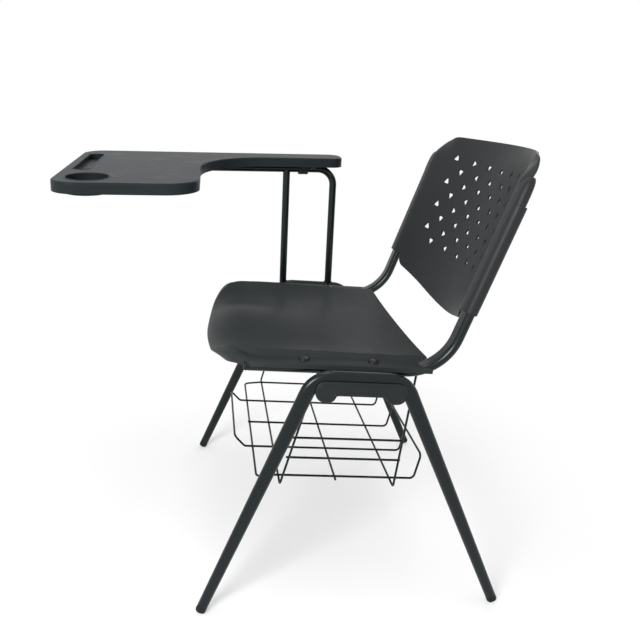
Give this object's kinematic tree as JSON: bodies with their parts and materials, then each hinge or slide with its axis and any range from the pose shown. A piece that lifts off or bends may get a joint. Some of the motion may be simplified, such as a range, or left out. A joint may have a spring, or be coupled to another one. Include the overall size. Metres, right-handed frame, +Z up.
{
  "type": "tablet arm chair",
  "caption": "Black training chair with a flip-up writing tablet, pierced plastic back, dished plastic seat, flat-oval steel legs and a wire book basket under the seat.",
  "frame": {"origin": "bottom centre of the outer box: on the floor, midway across the width and midway along the depth with the tablet down", "axes": "+Z up, the sitter faces -Y, +X is the sitter's left; the tablet is on the sitter's right"},
  "size_m": [0.5834, 0.873, 0.7826],
  "materials": {
    "frame_steel": "satin black powder coat",
    "basket_wire": "satin black powder coat",
    "cap_plastic": "moulded black plastic, worn satin",
    "bumper_plastic": "moulded black plastic, satin",
    "seat_plastic": "fine-grained black polypropylene",
    "back_plastic": "fine-grained black polypropylene",
    "tablet_plastic": "fine-grained black polypropylene",
    "screw_steel": "black oxide"
  },
  "bodies": {
    "chair_frame": {"leg_frame_left": "frame_steel", "leg_frame_right": "frame_steel", "foot_cap_front_left": "cap_plastic", "foot_cap_rear_left": "cap_plastic", "foot_cap_front_right": "cap_plastic", "foot_cap_rear_right": "cap_plastic", "seat_rail_left": "frame_steel", "seat_rail_right": "frame_steel", "rail_end_plugs": "cap_plastic", "front_cross_tube": "frame_steel", "rear_cross_tube": "frame_steel", "stacking_bumper_left": "bumper_plastic", "stacking_bumper_right": "bumper_plastic", "seat_shell": "seat_plastic", "seat_screws": "screw_steel", "back_shell": "back_plastic", "tablet_bar": "frame_steel", "tablet_front_post": "frame_steel", "bar_end_plug": "cap_plastic", "tablet_stop": "frame_steel", "basket_rim_wires": "basket_wire", "basket_inner_wire": "basket_wire", "basket_centre_wire": "basket_wire", "basket_cross_wire": "basket_wire", "basket_hanger_front": "basket_wire", "basket_hanger_rear": "basket_wire", "basket_side_wires": "basket_wire"},
    "tablet": {"tablet_top": "tablet_plastic", "hinge_saddle": "tablet_plastic", "saddle_screws": "screw_steel"}
  },
  "joints": [
    {"name": "tablet_flip", "type": "hinge", "parent": "chair_frame", "child": "tablet", "pos_m": [-0.25611, 0.0785, 0.7], "axis": [0, -1, 0], "range_deg": [0, 92]}
  ]
}
